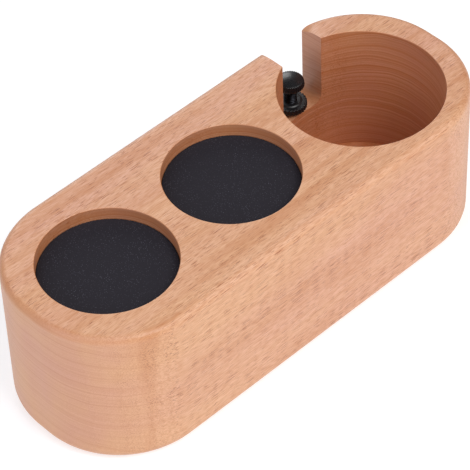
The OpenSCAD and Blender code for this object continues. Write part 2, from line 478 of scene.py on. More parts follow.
        count = self.ring_count(tree, place)
        noise = {"W": count, "Scale": self.bands_per_ring, "Detail": 2.0}
        noise = add_node(tree, Kind.CLOUDS, noise, noise_dimensions="1D")
        bands = add_node(tree, Kind.RANGE, (noise, *self.band_span))
        phase = add_node(tree, Kind.MATH, (count,), operation="FRACT")
        late = add_node(tree, Kind.RANGE, (phase, *self.late_span))
        late = add_node(tree, Kind.MATH, (late, bands), operation="MULTIPLY")
        noise = {"W": count, "Scale": self.layers_per_ring, "Detail": 3.0}
        noise = add_node(tree, Kind.CLOUDS, noise, noise_dimensions="1D")
        layers = add_node(tree, Kind.RANGE, (noise, *self.layer_span))
        open_layers = add_node(tree, Kind.RANGE, (cut, 0.0, 1.0, self.hidden_layers, 1.0))
        layers = add_node(tree, Kind.MATH, (layers, open_layers), operation="MULTIPLY")

        streaks = self.pattern(tree, Kind.CLOUDS, place, self.streak_mm, detail=4.0)
        streaks = add_node(tree, Kind.RANGE, (streaks, *self.streak_span))
        fibre = self.pattern(tree, Kind.CLOUDS, place, self.fibre_mm, detail=1.0)
        fibres = add_node(tree, Kind.RANGE, (fibre, *self.fibre_span))
        fine = self.ray_mask(tree, place, self.fine_ray_mm, self.fine_empty)
        long = self.ray_mask(tree, place, self.long_ray_mm, self.long_empty)
        long = add_node(tree, Kind.RANGE, (long, 0.0, self.long_full))
        rays = add_node(tree, Kind.MATH, (fine, long), operation="MAXIMUM")
        edge = add_node(tree, Kind.MATH, (along, facing["Z"]), operation="MULTIPLY")
        edge = add_node(tree, Kind.RANGE, (edge, *self.edge_span))

        shares = {}
        for stain, mask, where in (
            (self.bands, bands, wall),
            (self.streaks, streaks, end),
            (self.late_wood, late, cut),
            (self.layers, layers, wall),
            (self.fibres, fibres, end),
            (self.rays, rays, end),
            (self.end_grain, end, None),
            (self.burnish, edge, None),
            # Painted shade in the well, the rests and the notch.
            (self.painted_recess_shade, wall, None),
        ):
            colour, shares[stain] = self.stained(tree, colour, stain, mask, where)
        tree.links.new(colour, shader.inputs["Base Color"])

        down, up = self.roughness_spread
        satin = add_node(tree, Kind.RANGE, (fibre, *self.satin_span, self.roughness - down, self.roughness + up))
        tree.links.new(satin.outputs[0], shader.inputs["Roughness"])
        relief = add_node(tree, Kind.MATH, (shares[self.rays], -self.ray_sink, fibre), operation="MULTIPLY_ADD")
        depth = {"Height": relief, "Strength": self.relief_strength, "Distance": self.relief_mm * MM}
        tree.links.new(add_node(tree, Kind.BUMP, depth).outputs[0], shader.inputs["Normal"])
        shader.inputs["Specular IOR Level"].default_value = self.sheen


@dataclass(frozen=True)
class FoamRubber(Finish):
    """Closed-cell foam rubber sheet, skived from a block.

    The cut cells make it dead matte. A few of them catch the light, and this is painted into its colour as fine pale
    glints. Real cells are about 0.2 mm wide.
    The pits are drawn 0.42 mm wide and the painted glints up to 0.4 mm, so that they show.

    Attributes:
        body_hex: the rubber's colour.
        painted_glint_hex: colour of the painted glint where a cell catches the light.
        cell_mm: size of the pits.
        speck_mm: distance between specks.
        cloud_mm: size of the patches with few or many specks.
        speck_span: distance from a speck's middle where it has faded, and where it is full.
        painted_glint_strength: strength of a painted glint.
        cloud_span: the stretch of the clouds that goes from few specks to many.
        few: strength of the specks where they are few.
        pit_mm: depth of the pits.
        pit_strength: strength of their relief.
        roughness: the rubber's roughness.
        sheen: its specular level.
    """

    body_hex: str = "262329"
    # Painted glint: the pale colour of a cell that catches the light.
    painted_glint_hex: str = "5e5c66"
    cell_mm: float = 0.42
    speck_mm: float = 0.8
    cloud_mm: float = 9.0
    speck_span: Span = (0.26, 0.1)
    painted_glint_strength: float = 0.75
    cloud_span: Span = (0.35, 0.65)
    few: float = 0.3
    pit_mm: float = 0.12
    pit_strength: float = 0.5
    roughness: float = 0.93
    sheen: float = 0.25

    def dress(self, tree: NodeTree, shader: Node) -> None:
        """Paints pale glints into the black and pits it with cells.

        Args:
            tree: the material's node tree.
            shader: its surface shader.
        """
        place = self.position_mm(tree)
        cells = add_node(tree, Kind.CELLS, {"Vector": place, "Scale": 1 / self.cell_mm})
        specks = add_node(tree, Kind.CELLS, {"Vector": place, "Scale": 1 / self.speck_mm})
        cloud = add_node(tree, Kind.CLOUDS, {"Vector": place, "Scale": 1 / self.cloud_mm, "Detail": 4.0})
        # Painted glints: pale specks in the base colour where cells catch the light.
        dots = (specks, *self.speck_span, 0.0, self.painted_glint_strength)
        crowd = (cloud, *self.cloud_span, self.few, 1.0)
        parts = (add_node(tree, Kind.RANGE, dots), add_node(tree, Kind.RANGE, crowd))
        share = add_node(tree, Kind.MATH, parts, operation="MULTIPLY")
        tones = {"Factor": share, 6: linear(self.body_hex), 7: linear(self.painted_glint_hex)}
        colour = add_node(tree, Kind.MIX, tones, data_type="RGBA")
        tree.links.new(colour.outputs[2], shader.inputs["Base Color"])
        pits = {"Height": cells, "Strength": self.pit_strength, "Distance": self.pit_mm * MM}
        tree.links.new(add_node(tree, Kind.BUMP, pits).outputs[0], shader.inputs["Normal"])
        shader.inputs["Roughness"].default_value = self.roughness
        shader.inputs["Specular IOR Level"].default_value = self.sheen


@dataclass(frozen=True)
class MouldedBlack(Finish):
    """Glass-filled nylon, injection moulded in black.

    The mould's spark-eroded skin breaks the gloss into a soft satin with faint mottling. Real sparks leave pits of
    about 0.1 mm. They are drawn 0.35 mm wide, so that they show.

    Attributes:
        body_hex: the nylon's colour.
        skin_mm: size of the skin's grain.
        roughness: its middle roughness.
        roughness_spread: how far the skin takes it down and up.
        gloss_span: the stretch of the skin's clouds that does.
        skin_depth_mm: depth of the skin's grain.
        skin_strength: strength of its relief.
    """

    body_hex: str = "17171a"
    skin_mm: float = 0.35
    roughness: float = 0.27
    roughness_spread: Span = (0.06, 0.1)
    gloss_span: Span = (0.3, 0.7)
    skin_depth_mm: float = 0.015
    skin_strength: float = 0.3

    def dress(self, tree: NodeTree, shader: Node) -> None:
        """Gives a plain black with the mould's fine skin.

        Args:
            tree: the material's node tree.
            shader: its surface shader.
        """
        place = self.position_mm(tree)
        skin = add_node(tree, Kind.CLOUDS, {"Vector": place, "Scale": 1 / self.skin_mm, "Detail": 3.0})
        down, up = self.roughness_spread
        gloss = (skin, *self.gloss_span, self.roughness - down, self.roughness + up)
        tree.links.new(add_node(tree, Kind.RANGE, gloss).outputs[0], shader.inputs["Roughness"])
        grain = {"Height": skin, "Strength": self.skin_strength, "Distance": self.skin_depth_mm * MM}
        tree.links.new(add_node(tree, Kind.BUMP, grain).outputs[0], shader.inputs["Normal"])
        shader.inputs["Base Color"].default_value = linear(self.body_hex)


@dataclass(frozen=True)
class BlackedSteel(Finish):
    """Rolled steel thread, blacked in a hot salt bath.

    The oxide is nearly black, and the rolled flanks keep brighter lines where the light grazes them.

    Attributes:
        body_hex: the oxide's colour.
        worn_hex: colour where the oxide is thin.
        blotch_mm: size of the thin places.
        worn_span: the stretch of the blotches that is thin.
        worn_strength: how much of the steel shows there.
        roughness_span: roughness from the oxide to the thin places.
    """

    body_hex: str = "27272b"
    worn_hex: str = "6c6c72"
    blotch_mm: float = 1.6
    worn_span: Span = (0.55, 0.8)
    worn_strength: float = 0.5
    roughness_span: Span = (0.38, 0.28)

    def dress(self, tree: NodeTree, shader: Node) -> None:
        """Mottles the oxide and lets a little steel through.

        Args:
            tree: the material's node tree.
            shader: its surface shader.
        """
        place = self.position_mm(tree)
        blotch = add_node(tree, Kind.CLOUDS, {"Vector": place, "Scale": 1 / self.blotch_mm, "Detail": 4.0})
        worn = (blotch, *self.worn_span, 0.0, self.worn_strength)
        share = add_node(tree, Kind.RANGE, worn)
        tones = {"Factor": share, 6: linear(self.body_hex), 7: linear(self.worn_hex)}
        colour = add_node(tree, Kind.MIX, tones, data_type="RGBA")
        tree.links.new(colour.outputs[2], shader.inputs["Base Color"])
        gloss = (blotch, 0.0, 1.0, *self.roughness_span)
        tree.links.new(add_node(tree, Kind.RANGE, gloss).outputs[0], shader.inputs["Roughness"])
        shader.inputs["Metallic"].default_value = 1.0


@dataclass(frozen=True)
class TurnedBrass(Finish):
    """Free-cutting brass, turned on a lathe.

    The tool leaves fine rings across the axis, which spread the highlight.

    Attributes:
        body_hex: the brass's colour.
        tool_mark_mm: size of a tool mark across and along the axis.
        roughness_span: roughness from the bottom of a mark to its top.
    """

    body_hex: str = "c9a45c"
    tool_mark_mm: Triple = (40.0, 40.0, 0.12)
    roughness_span: Span = (0.2, 0.42)

    def dress(self, tree: NodeTree, shader: Node) -> None:
        """Lays tool marks over the brass.

        Args:
            tree: the material's node tree.
            shader: its surface shader.
        """
        marks = self.pattern(tree, Kind.CLOUDS, self.position_mm(tree), self.tool_mark_mm, detail=2.0)
        gloss = (marks, 0.0, 1.0, *self.roughness_span)
        tree.links.new(add_node(tree, Kind.RANGE, gloss).outputs[0], shader.inputs["Roughness"])
        shader.inputs["Base Color"].default_value = linear(self.body_hex)
        shader.inputs["Metallic"].default_value = 1.0


@dataclass(frozen=True)
class SheetRubber(Finish):
    """Calendered rubber sheet with a fine cloth imprint.

    It is matte and even, with a faint weave that the press cloth left.

    Attributes:
        body_hex: the rubber's colour.
        weave_mm: distance between the threads of the imprint.
        imprint_mm: depth of the imprint.
        imprint_strength: strength of its relief.
        roughness: the rubber's roughness.
    """

    body_hex: str = "1d1d1f"
    weave_mm: float = 0.9
    imprint_mm: float = 0.08
    imprint_strength: float = 0.5
    roughness: float = 0.8

    def dress(self, tree: NodeTree, shader: Node) -> None:
        """Presses a weave into matte black rubber.

        Args:
            tree: the material's node tree.
            shader: its surface shader.
        """
        # A wave texture of scale one repeats 20 times in a full turn.
        threads = {"Vector": self.position_mm(tree), "Scale": FULL_TURN / (20 * self.weave_mm), "Distortion": 0.0}
        warp = add_node(tree, Kind.WAVES, threads, wave_type="BANDS", bands_direction="X")
        weft = add_node(tree, Kind.WAVES, threads, wave_type="BANDS", bands_direction="Y")
        crossed = (warp.outputs["Fac"], weft.outputs["Fac"])
        weave = add_node(tree, Kind.MATH, crossed, operation="MULTIPLY")
        imprint = {"Height": weave, "Strength": self.imprint_strength, "Distance": self.imprint_mm * MM}
        tree.links.new(add_node(tree, Kind.BUMP, imprint).outputs[0], shader.inputs["Normal"])
        shader.inputs["Base Color"].default_value = linear(self.body_hex)
        shader.inputs["Roughness"].default_value = self.roughness


@dataclass(frozen=True)
class PaleGround(Finish):
    """Opal sheet of a light table. It is matte and nearly white, and its own light swallows the shadow.

    Attributes:
        body_hex: the sheet's colour.
        light_hex: colour of its own light.
        glow: strength of that light.
        roughness: the sheet's roughness.
    """

    body_hex: str = "bdbdbd"
    light_hex: str = "ffffff"
    glow: float = 0.6
    roughness: float = 0.9

    def dress(self, tree: NodeTree, shader: Node) -> None:
        """Sets the plain sheet and its light.

        Args:
            tree: the material's node tree.
            shader: its surface shader.
        """
        shader.inputs["Base Color"].default_value = linear(self.body_hex)
        shader.inputs["Roughness"].default_value = self.roughness
        shader.inputs["Emission Color"].default_value = linear(self.light_hex)
        shader.inputs["Emission Strength"].default_value = self.glow


# Mesh helpers


def finished(piece: bpy.types.Object, body: Body, nodes: tuple[str, ...]) -> bpy.types.Object:
    """Puts a finished piece on its body and in the place of its CAD nodes.

    Args:
        piece: the piece, with its place in its mesh.
        body: the body that it rides on.
        nodes: the CAD nodes that it stands for.

    Returns:
        The same piece.
    """
    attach(piece, body.value)
    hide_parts(*nodes)
    LOG.info("piece %s rides on %s: %d faces", piece.name, body.value, len(piece.data.polygons))
    return piece


def corners(node: str) -> tuple[Vector, Vector]:
    """Gives the lowest and the highest corner of a CAD node's box."""
    low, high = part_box(node)
    return Vector(low), Vector(high)


def footing(node: str) -> tuple[Vector, float, float]:
    """Gives the middle of a round CAD node's underside, its radius and its height."""
    low, high = corners(node)
    return Vector(((low.x + high.x) / 2, (low.y + high.y) / 2, low.z)), (high.x - low.x) / 2, high.z - low.z


def quarter_turn(steps: int) -> list[float]:
    """Gives the angles from zero to a quarter of a turn, in even steps."""
    return [math.pi / 2 * i / steps for i in range(steps + 1)]


def new_object(name: str, mesh: bpy.types.Mesh) -> bpy.types.Object:
    """Wraps a mesh in an object at the origin and links it to the scene.

    Args:
        name: the object's name.
        mesh: its mesh, in the part's frame.

    Returns:
        The new object.
    """
    piece = bpy.data.objects.new(name, mesh)
    bpy.context.scene.collection.objects.link(piece)
    return piece


def to_mesh_object(name: str, form: bmesh.types.BMesh) -> bpy.types.Object:
    """Writes a bmesh into a new object and frees it.

    Args:
        name: the object's name.
        form: the bmesh, in the part's frame.

    Returns:
        The new object, with its faces pointing outwards.
    """
    bmesh.ops.recalc_face_normals(form, faces=form.faces)
    mesh = bpy.data.meshes.new(name)
    form.to_mesh(mesh)
    form.free()
    return new_object(name, mesh)


def baked(piece: bpy.types.Object) -> bpy.types.Object:
    """Applies a piece's modifiers by replacing its mesh with the evaluated one.

    Args:
        piece: an object with live modifiers.

    Returns:
        The same object, plain.
    """
    graph = bpy.context.evaluated_depsgraph_get()
    mesh = bpy.data.meshes.new_from_object(piece.evaluated_get(graph), depsgraph=graph)
    piece.modifiers.clear()
    old = piece.data
    piece.data = mesh
    bpy.data.meshes.remove(old)
    return piece


def smooth_by_angle(piece: bpy.types.Object, limit_deg: float) -> None:
    """Shades a piece smooth and keeps edges sharper than the limit crisp.

    Args:
        piece: the piece to shade.
        limit_deg: angle between two faces from which their edge stays crisp.
    """
    form = bmesh.new()
    form.from_mesh(piece.data)
    limit = math.radians(limit_deg)
    for face in form.faces:
        face.smooth = True
    for edge in form.edges:
        edge.smooth = len(edge.link_faces) == 2 and edge.calc_face_angle(0.0) < limit
    form.to_mesh(piece.data)
    form.free()


def eased(profile: list[Point], radius: float, steps: int = 4) -> list[Point]:
    """Rounds the corners of a profile.

    Args:
        profile: radius and height of each corner. The first and last stay as they are.
        radius: how far from a corner its rounding starts, at most.
        steps: number of stretches in a rounding.

    Returns:
        The profile with a short curve at each inner corner.
    """
    out = [profile[0]]
    for before, corner, after in zip(profile, profile[1:], profile[2:]):
        here = Vector(corner)
        back, ahead = Vector(before) - here, Vector(after) - here
        reach = min(radius, back.length / 2, ahead.length / 2)
        start, end = here + back.normalized() * reach, here + ahead.normalized() * reach
        for i in range(steps + 1):
            t = i / steps
            out.append(tuple((1 - t) ** 2 * start + 2 * t * (1 - t) * here + t**2 * end))
    return out + [profile[-1]]


def lofted(name: str, sections: list[list[Triple]]) -> bpy.types.Object:
    """Builds a closed solid through a row of sections.

    Args:
        name: the object's name.
        sections: closed sections with as many points each.

    Returns:
        The solid, with a flat face on its first and last section.
    """
    form = bmesh.new()
    rings = [[form.verts.new(point) for point in section] for section in sections]
    for near, far in zip(rings, rings[1:]):
        for i in range(len(near)):
            j = (i + 1) % len(near)
            form.faces.new((near[i], near[j], far[j], far[i]))
    form.faces.new(rings[0][::-1])
    form.faces.new(rings[-1])
    return to_mesh_object(name, form)


def turned(name: str, profile: list[Point], centre: Vector, steps: int) -> bpy.types.Object:
    """Turns a profile into a closed solid about an upright axis.

    Args:
        name: the object's name.
        profile: radius and height of each point, from the bottom up. It starts and ends on the axis, or it is a ring's
            section, whose last point joins its first.
        centre: the axis, at height zero of the profile.
        steps: number of stretches around the axis.

    Returns:
        The turned object.
    """
    form = bmesh.new()
    on_axis = profile[0][0] == 0
    rings = []
    for reach, height in profile:
        spots = 1 if reach == 0 else steps
        ring = []
        for i in range(spots):
            angle = FULL_TURN * i / steps
            ring.append(form.verts.new(centre + Vector((reach * math.cos(angle), reach * math.sin(angle), height))))
        rings.append(ring)
    pairs = list(zip(rings, rings[1:])) + ([] if on_axis else [(rings[-1], rings[0])])
    for low, high in pairs:
        for i in range(steps):
            j = (i + 1) % steps
            loop = [low[i % len(low)], low[j % len(low)], high[j % len(high)], high[i % len(high)]]
            form.faces.new(list(dict.fromkeys(loop)))
    return to_mesh_object(name, form)


# Geometry Nodes: grooves around a turned piece, and a rolled thread


class Entry(Enum):
    """The kinds of input that a geometry tree takes."""

    COUNT = "NodeSocketInt"
    FINISH = "NodeSocketMaterial"
    NUMBER = "NodeSocketFloat"
    SPOT = "NodeSocketVector"


@dataclass
class PieceTree:
    """A geometry tree with named inputs that makes or changes one piece.

    Attributes:
        name: the tree's name.
        entries: kind and value of each input, by its name.
    """

    name: str
    entries: dict[str, tuple[Entry, object]]

    def __post_init__(self) -> None:
        """Makes the tree, its inputs and its group input node, whose outputs give what the tree is given."""
        self.tree = bpy.data.node_groups.new(self.name, "GeometryNodeTree")
        panel = self.tree.interface
        for way in ("INPUT", "OUTPUT"):
            panel.new_socket("Geometry", in_out=way, socket_type="NodeSocketGeometry")
        self.values = {}
        for label, (kind, value) in self.entries.items():
            socket = panel.new_socket(label, in_out="INPUT", socket_type=kind.value)
            self.values[socket.identifier] = value
        self.given = add_node(self.tree, Kind.INPUT).outputs

    def run(self, piece: bpy.types.Object, geometry: Node) -> bpy.types.Object:
        """Ends the tree in Realize Instances and Set Material, and runs it on a piece.

        Args:
            piece: the object that the tree works on.
            geometry: the node that gives the geometry.

        Returns:
            The same object, with its new mesh and no modifier.
        """
        real = add_node(self.tree, Kind.REALIZE, (geometry,))
        dressed = add_node(self.tree, Kind.DRESS, {"Geometry": real, "Material": self.given["Material"]})
        add_node(self.tree, Kind.OUTPUT, (dressed,))
        modifier = piece.modifiers.new(self.name, "NODES")
        modifier.node_group = self.tree
        for identifier, value in self.values.items():
            modifier[identifier] = value
        return baked(piece)


@dataclass
class GripGrooves:
    """Pushes upright grooves into the outer wall of a turned piece.

    Attributes:
        count: number of grooves around the piece.
        depth: depth of a groove.
        narrow: how much narrower the grooves are than the ribs between them.
        core: radius inside which nothing moves.
        fade: width over which the grooves fade in outside the core.
    """

    count: int
    depth: float
    narrow: float
    core: float
    fade: float

    def apply(self, piece: bpy.types.Object, centre: Vector, material: bpy.types.Material) -> bpy.types.Object:
        """Builds the tree, runs it on the piece and gives the piece back.

        Args:
            piece: a turned object with enough stretches around it for the grooves.
            centre: a point on the piece's axis.
            material: the finish that the result gets.

        Returns:
            The grooved piece.
        """
        entries = {
            "Count": (Entry.NUMBER, float(self.count)),
            "Depth": (Entry.NUMBER, self.depth),
            "Narrow": (Entry.NUMBER, self.narrow),
            "Core": (Entry.NUMBER, self.core),
            "Fade": (Entry.NUMBER, self.fade),
            "Centre": (Entry.SPOT, tuple(centre)),
            "Material": (Entry.FINISH, material),
        }
        grip = PieceTree("grip_grooves", entries)
        tree, given = grip.tree, grip.given
        local = add_node(tree, Kind.VECTOR, (add_node(tree, Kind.POSITION), given["Centre"]), operation="SUBTRACT")
        flat = add_node(tree, Kind.VECTOR, (local, LEVEL), operation="MULTIPLY")
        reach = add_node(tree, Kind.VECTOR, (flat,), operation="LENGTH").outputs["Value"]
        axes = add_node(tree, Kind.SPLIT, (flat,)).outputs
        angle = add_node(tree, Kind.MATH, (axes["Y"], axes["X"]), operation="ARCTAN2")
        turns = add_node(tree, Kind.MATH, (angle, given["Count"]), operation="MULTIPLY")
        wave = add_node(tree, Kind.MATH, (turns,), operation="COSINE")
        half = add_node(tree, Kind.MATH, (wave, 0.5, 0.5), operation="MULTIPLY_ADD")
        groove = add_node(tree, Kind.MATH, (half, given["Narrow"]), operation="POWER")
        past = add_node(tree, Kind.MATH, (reach, given["Core"]), operation="SUBTRACT")
        share = add_node(tree, Kind.MATH, (past, given["Fade"]), operation="DIVIDE", use_clamp=True)
        push = add_node(tree, Kind.MATH, (groove, share), operation="MULTIPLY")
        deep = add_node(tree, Kind.MATH, (push, given["Depth"]), operation="MULTIPLY")
        inwards = add_node(tree, Kind.MATH, (deep, -1.0), operation="MULTIPLY")
        outward = add_node(tree, Kind.VECTOR, (flat,), operation="NORMALIZE")
        shift = add_node(tree, Kind.VECTOR, {0: outward, "Scale": inwards}, operation="SCALE")
        moved = add_node(tree, Kind.MOVE, {"Geometry": given["Geometry"], "Offset": shift})
        return grip.run(piece, moved)


@dataclass
class RolledThread:
    """A metric thread rolled on a plain rod.

    Attributes:
        crest: radius of the thread's crest.
        root: radius of its root.
        pitch: distance from one crest to the next.
        length: length of the rod.
        bevel: height of the bevel at each end.
        flank: where the flank starts and ends, as shares of the pitch from the middle of the root.
        around: stretches around the rod.
        per_pitch: rings of points in one pitch.
    """

    crest: float
    root: float
    pitch: float
    length: float
    bevel: float
    flank: Span = (0.06, 0.42)
    around: int = 48
    per_pitch: int = 10

    def build(self, name: str, foot: Vector, material: bpy.types.Material) -> bpy.types.Object:
        """Builds the threaded rod.

        Args:
            name: the object's name.
            foot: the middle of the rod's lower end.
            material: the finish that the rod gets.

        Returns:
            The threaded rod.
        """
        entries = {
            "Crest": (Entry.NUMBER, self.crest),
            "Root": (Entry.NUMBER, self.root),
            "Pitch": (Entry.NUMBER, self.pitch),
            "Length": (Entry.NUMBER, self.length),
            "Bevel": (Entry.NUMBER, self.bevel),
            "Around": (Entry.COUNT, self.around),
            "Rings": (Entry.COUNT, round(self.length / self.pitch * self.per_pitch)),
            "Foot": (Entry.SPOT, tuple(foot)),
            "Material": (Entry.FINISH, material),
        }
        thread = PieceTree("rolled_thread", entries)
        tree, given = thread.tree, thread.given
        size = {"Vertices": given["Around"], "Side Segments": given["Rings"]}
        size |= {"Radius": given["Crest"], "Depth": given["Length"]}
        rod = add_node(tree, Kind.ROD, size, fill_type="NGON")
        place = add_node(tree, Kind.POSITION)
        axes = add_node(tree, Kind.SPLIT, (place,)).outputs
        angle = add_node(tree, Kind.MATH, (axes["Y"], axes["X"]), operation="ARCTAN2")
        turn = add_node(tree, Kind.MATH, (angle, FULL_TURN), operation="DIVIDE")
        climb = add_node(tree, Kind.MATH, (axes["Z"], given["Pitch"]), operation="DIVIDE")
        phase = add_node(tree, Kind.MATH, (climb, turn), operation="SUBTRACT")
        tooth = add_node(tree, Kind.MATH, (phase, 0.5), operation="PINGPONG")
        height = add_node(tree, Kind.RANGE, (tooth, *self.flank))
        drop = add_node(tree, Kind.MATH, (given["Crest"], given["Root"]), operation="SUBTRACT")
        flank = add_node(tree, Kind.MATH, (height, drop, given["Root"]), operation="MULTIPLY_ADD")
        half = add_node(tree, Kind.MATH, (given["Length"], 0.5), operation="MULTIPLY")
        away = add_node(tree, Kind.MATH, (axes["Z"],), operation="ABSOLUTE")
        left = add_node(tree, Kind.MATH, (half, away), operation="SUBTRACT")
        cone_foot = add_node(tree, Kind.MATH, (given["Crest"], given["Bevel"]), operation="SUBTRACT")
        cone = add_node(tree, Kind.MATH, (left, cone_foot), operation="ADD")
        reach = add_node(tree, Kind.MATH, (flank, cone), operation="MINIMUM")
        flat = add_node(tree, Kind.VECTOR, (place, LEVEL), operation="MULTIPLY")
        outward = add_node(tree, Kind.VECTOR, (flat,), operation="NORMALIZE")
        ring = add_node(tree, Kind.VECTOR, {0: outward, "Scale": reach}, operation="SCALE")
        level = add_node(tree, Kind.MATH, (axes["Z"], half), operation="ADD")
        lift = add_node(tree, Kind.JOIN, {"Z": level})
        local = add_node(tree, Kind.VECTOR, (ring, lift), operation="ADD")
        spot = add_node(tree, Kind.VECTOR, (local, given["Foot"]), operation="ADD")
        moved = add_node(tree, Kind.MOVE, {"Geometry": rod, "Position": spot})
        return thread.run(new_object(name, bpy.data.meshes.new(name)), moved)


# The block


@dataclass
class BeechBlock:
    """The solid block with its rests, well, notch and the hole for the support.

    Attributes:
        corner_r: corner radius of the outline.
        top_round: radius of the upper edge.
        bottom_round: radius of the lower edge.
        well_d: diameter of the well.
        well_inset: distance from the block's right end to the well's axis.
        well_forward: distance from the block's middle forward to the well's axis.
        well_floor: wood left under the well.
        rest_gap: gap around a pad.
        notch_w: width of the notch.
        notch_depth: depth of the notch below the top.
        notch_corner: radius of the notch's lower corners.
        notch_round: radius of the notch's outer edges.
        ease_r: radius of the sanded rounding over the notch's upper corners.
        left_ease: how far that rounding reaches into the left corner.
        right_ease: how far it reaches into the right corner.
        hole_gap: clearance of the stud in the hole below the insert.
        hole_spare: depth left below the stud at its lowest.
        lip: rounding of the rims.
        soft_w: width of the bevel between the notch and the well.
        soft_steps: stretches in that bevel.
        soft_deg: angle from which an edge there gets it.
        near: how close to the well's wall an edge counts as on it.
        crisp_deg: angle from which an edge stays crisp.
        corner_steps: stretches in a quarter of the outline.
        edge_steps: stretches in the rounding of the upper and the lower edge.
        lip_steps: stretches in the rounding of a rim.
        notch_steps: stretches in a lower corner of the notch.
        flare_steps: stretches in the rounding of the notch's outer edges.
        ease_steps: stretches in the sanded rounding.
        hole_steps: stretches around a hole.
        drill_steps: stretches around the support's hole.
        over: how far a cutter runs past the face that it opens.
        ease_over: how far the cutter of the sanded rounding does.
        ease_side: half that cutter's length, counted in how far the rounding reaches.
    """

    corner_r: float = 42.2 * MM
    top_round: float = 3.5 * MM
    bottom_round: float = 5.3 * MM
    well_d: float = 73.4 * MM
    well_inset: float = 48.3 * MM
    well_forward: float = 2.2 * MM
    well_floor: float = 6.0 * MM
    rest_gap: float = 0.3 * MM
    notch_w: float = 25.1 * MM
    notch_depth: float = 38.8 * MM
    notch_corner: float = 6.0 * MM
    notch_round: float = 1.2 * MM
    ease_r: float = 12.0 * MM
    left_ease: float = 5.5 * MM
    right_ease: float = 9.0 * MM
    hole_gap: float = 0.4 * MM
    hole_spare: float = 1.5 * MM
    lip: float = 0.45 * MM
    soft_w: float = 0.35 * MM
    soft_steps: int = 2
    soft_deg: float = 40.0
    near: float = 0.02 * MM
    crisp_deg: float = 32.0
    corner_steps: int = 48
    edge_steps: int = 10
    lip_steps: int = 4
    notch_steps: int = 12
    flare_steps: int = 8
    ease_steps: int = 24
    hole_steps: int = 192
    drill_steps: int = 64
    over: float = 4.0 * MM
    ease_over: float = 1.0 * MM
    ease_side: float = 1.5

    def __post_init__(self) -> None:
        """Reads the block's box and works out the places of its holes."""
        self.low, self.high = corners("block")
        self.top_z = self.high.z
        self.well = Vector((self.high.x - self.well_inset, -self.well_forward, self.low.z + self.well_floor))
        stud_low, stud_high = corners("support_stud")
        self.support = (stud_low + stud_high) / 2
        self.stud_r = (stud_high.x - stud_low.x) / 2
        self.stud_foot = stud_low.z
        self.insert_low, self.insert_high = corners("threaded_insert")

    def rest(self, pad: str) -> tuple[Vector, float]:
        """Gives the middle of a rest's floor and the rest's radius, from the pad that lies in it."""
        spot, radius, _ = footing(pad)
        return spot, radius + self.rest_gap

    def holes_mm(self) -> tuple[Triple, ...]:
        """Gives the place and radius of each turned hole, in millimetres."""
        holes = [(self.well, self.well_d / 2), *(self.rest(pad) for pad in PADS)]
        return tuple((spot.x / MM, spot.y / MM, radius / MM) for spot, radius in holes)

    def notch_place_mm(self) -> tuple[float, float, float, float]:
        """Gives the notch's middle, its half width, where it starts and the height of its ledge, in millimetres."""
        middle, ledge = self.support.x, self.top_z - self.notch_depth
        return middle / MM, self.notch_w / 2 / MM, (self.well.y + self.notch_w) / MM, ledge / MM

    def section(self) -> list[Point]:
        """Gives the wall's section, from the underside up.

        Returns:
            Inset and height of each point.
        """
        arc, foot, crown = quarter_turn(self.edge_steps), self.bottom_round, self.top_round
        low = [(foot * (1 - math.sin(a)), self.low.z + foot * (1 - math.cos(a))) for a in arc]
        high = [(crown * (1 - math.cos(a)), self.top_z - crown * (1 - math.sin(a))) for a in arc]
        return low + high

    def outline(self, inset: float) -> list[Point]:
        """Gives the block's outline, drawn in by an inset.

        Args:
            inset: distance from the block's widest outline.

        Returns:
            Points around the outline, counter-clockwise.
        """
        reach = self.corner_r - inset
        points = []
        for quarter, (side_x, side_y) in enumerate(((1, 1), (-1, 1), (-1, -1), (1, -1))):
            centre_x = side_x * (self.high.x - self.corner_r)
            centre_y = side_y * (self.high.y - self.corner_r)
            for i in range(self.corner_steps + 1):
                angle = math.pi / 2 * (quarter + i / self.corner_steps)
                points.append((centre_x + reach * math.cos(angle), centre_y + reach * math.sin(angle)))
        return points

    def blank(self) -> bpy.types.Object:
        """Builds the block before any cut."""
        return lofted("beech_block", [[(x, y, z) for x, y in self.outline(inset)] for inset, z in self.section()])

    def rimmed_cutter(self, name: str, spot: Vector, radius: float) -> bpy.types.Object:
        """Builds the cutter of a round hole with a rounded rim.

        Args:
            name: the cutter's name.
            spot: the middle of the hole's floor.
            radius: the hole's radius.

        Returns:
            The cutter.
        """
        depth, lip = self.top_z - spot.z, self.lip
        arc = quarter_turn(self.lip_steps)
        rim = [(radius + lip * (1 - math.cos(a)), depth - lip * (1 - math.sin(a))) for a in arc]
        top = depth + self.over
        profile = [(0, 0), (radius, 0), *rim, (radius + lip, top), (0, top)]
        return turned(name, profile, spot, self.hole_steps)

    def notch_section(self, wider: float) -> list[Point]:
        """Gives the notch's section across X and Z, offset outwards.

        Args:
            wider: how far the section lies outside the notch's own walls.

        Returns:
            Points from the upper right, round the bottom, to the upper left.
        """
        half, corner = self.notch_w / 2, self.notch_corner
        low, reach = self.top_z - self.notch_depth + corner, corner + wider
        right = [(half + wider, self.top_z + self.over)]
        for angle in quarter_turn(self.notch_steps):
            right.append((half - corner + reach * math.cos(angle), low - reach * math.sin(angle)))
        points = right + [(-x, z) for x, z in reversed(right)]
        return [(self.support.x + x, z) for x, z in points]

    def notch_cutter(self) -> bpy.types.Object:
        """Builds the cutter of the notch, which opens like a bell where it leaves the back face.

        Returns:
            The cutter.
        """
        back, flare = self.high.y, self.notch_round
        stations = [(self.well.y, 0.0)]
        for angle in quarter_turn(self.flare_steps):
            stations.append((back - flare * (1 - math.sin(angle)), flare * (1 - math.cos(angle))))
        stations.append((back + self.over, flare))
        return lofted("notch_cutter", [[(x, y, z) for x, z in self.notch_section(wider)] for y, wider in stations])

